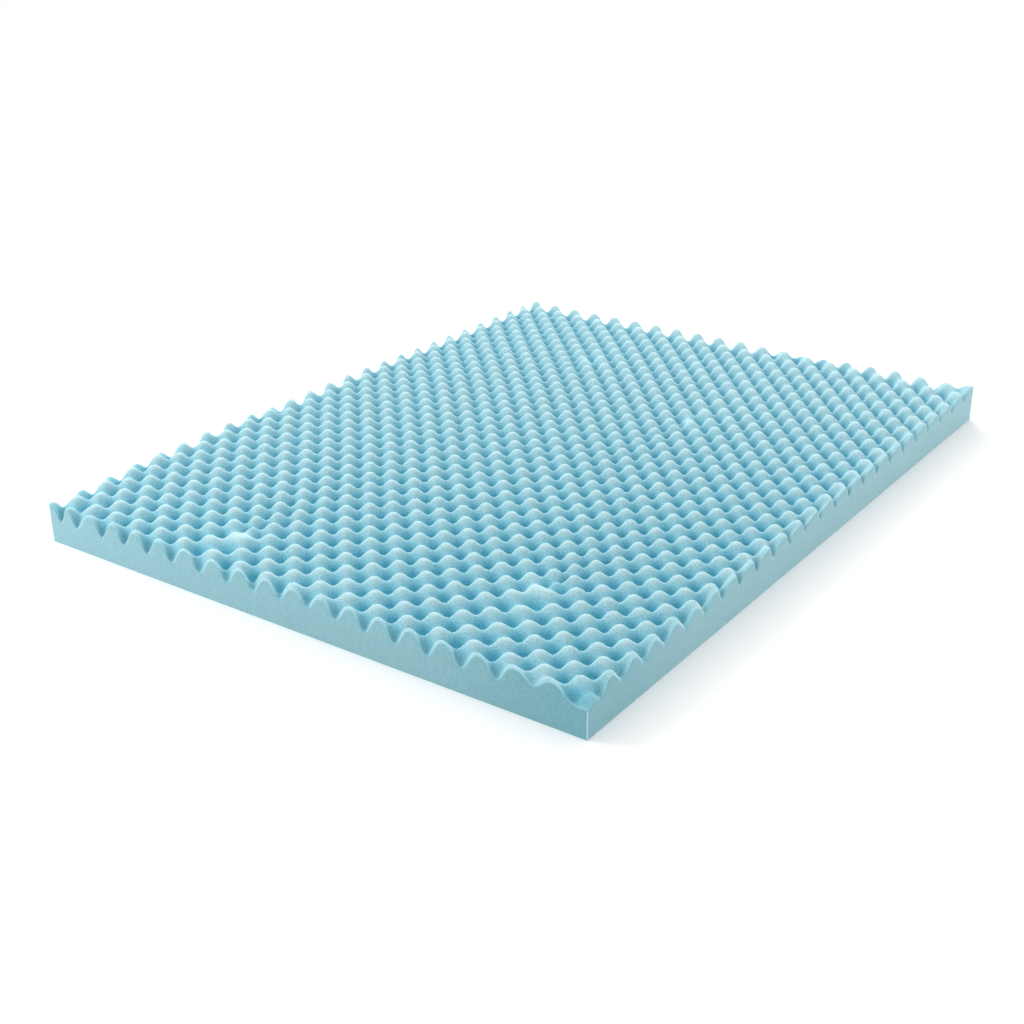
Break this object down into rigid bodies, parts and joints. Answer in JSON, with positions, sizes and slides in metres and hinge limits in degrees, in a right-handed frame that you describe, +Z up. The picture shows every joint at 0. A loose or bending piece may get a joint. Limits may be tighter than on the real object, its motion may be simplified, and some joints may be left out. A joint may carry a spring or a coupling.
{
  "type": "mattress topper",
  "caption": "Thick slab of soft convoluted foam, flat underneath with a field of round bumps on top, that lies on a mattress and softens the bed.",
  "frame": {"origin": "middle of the flat underside, leaving aside the 32 mm by which the left long side bows out", "axes": "+X across the bed, +Y along the bed, +Z up through the bumps"},
  "size_m": [1.556, 2.032, 0.1],
  "materials": {
    "blue_foam": "bare open-cell polyurethane foam, dull, pale blue"
  },
  "bodies": {
    "root": {"foam_slab": "blue_foam"}
  },
  "joints": []
}
